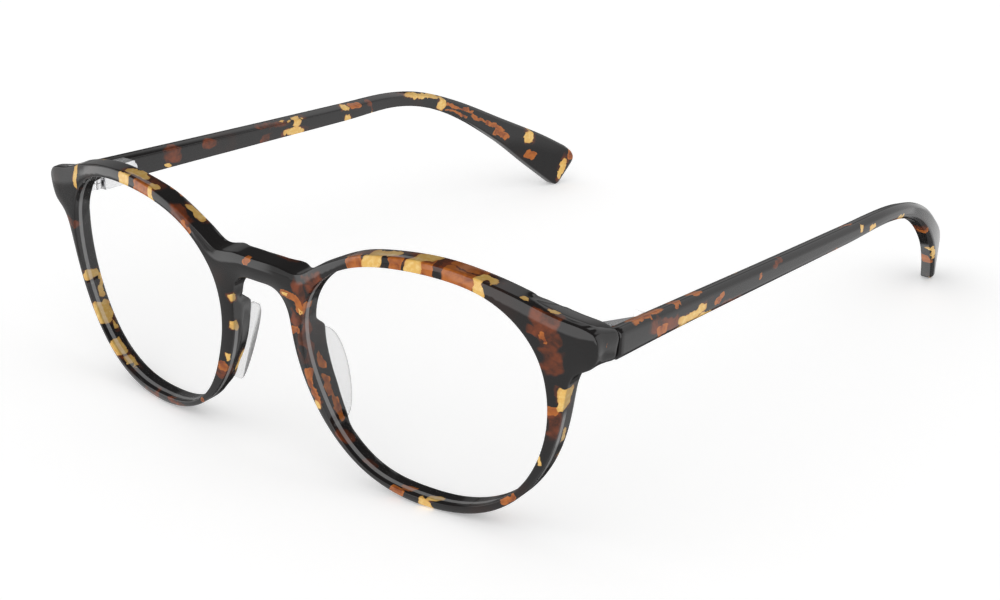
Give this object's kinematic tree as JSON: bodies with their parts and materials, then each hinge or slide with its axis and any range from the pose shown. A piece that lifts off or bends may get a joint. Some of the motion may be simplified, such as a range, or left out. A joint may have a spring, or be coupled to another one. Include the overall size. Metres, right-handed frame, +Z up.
{
  "type": "eyeglasses",
  "caption": "Full-rim eyeglasses in speckled plastic: round lenses, keyhole-free bridge, clear nose pads, and spring-hinged temples that fold inwards.",
  "frame": {"origin": "on the ground below the middle of the glasses, which stand on their rims and temple tips with the temples open", "axes": "+Z up, the front looks along -Y, +X to the wearer's left"},
  "size_m": [0.1324, 0.1602, 0.0461],
  "materials": {
    "acetate": "polished, near black with amber and yellow flecks",
    "lens": "clear, polished",
    "clear_pad": "clear, polished",
    "hinge_steel": "bright nickel silver",
    "spring_steel": "plain spring wire",
    "core_metal": "flat wire, embedded"
  },
  "bodies": {
    "front": {"front_frame": "acetate", "lens_left": "lens", "lens_right": "lens", "nose_pad_left": "clear_pad", "nose_pad_right": "clear_pad", "hinge_leaf_left": "hinge_steel", "hinge_leaf_right": "hinge_steel", "hinge_screw_left": "hinge_steel", "hinge_screw_right": "hinge_steel"},
    "slider_left": {"hinge_tongue_left": "hinge_steel", "rod_stop_left": "hinge_steel", "flex_spring_left": "spring_steel"},
    "slider_right": {"hinge_tongue_right": "hinge_steel", "rod_stop_right": "hinge_steel", "flex_spring_right": "spring_steel"},
    "temple_arm_left": {"temple_left": "acetate", "temple_core_left": "core_metal", "spring_housing_left": "hinge_steel"},
    "temple_arm_right": {"temple_right": "acetate", "temple_core_right": "core_metal", "spring_housing_right": "hinge_steel"}
  },
  "joints": [
    {"name": "temple_left_fold", "type": "hinge", "parent": "front", "child": "slider_left", "pos_m": [0.0612, -0.06377, 0.0355], "axis": [0, 0.0523, 0.9986], "range_deg": [0, 90]},
    {"name": "temple_right_fold", "type": "hinge", "parent": "front", "child": "slider_right", "pos_m": [-0.0612, -0.06377, 0.0355], "axis": [0, -0.0523, -0.9986], "range_deg": [0, 83]},
    {"name": "temple_left_flex", "type": "slide", "parent": "slider_left", "child": "temple_arm_left", "axis": [0, 0.9986, -0.0523], "range_m": [0, 0.0012], "stiffness_N_per_m": 1500, "springref_m": -0.001, "deforming": ["flex_spring_left"]},
    {"name": "temple_right_flex", "type": "slide", "parent": "slider_right", "child": "temple_arm_right", "axis": [0, 0.9986, -0.0523], "range_m": [0, 0.0012], "stiffness_N_per_m": 1500, "springref_m": -0.001, "deforming": ["flex_spring_right"]}
  ]
}
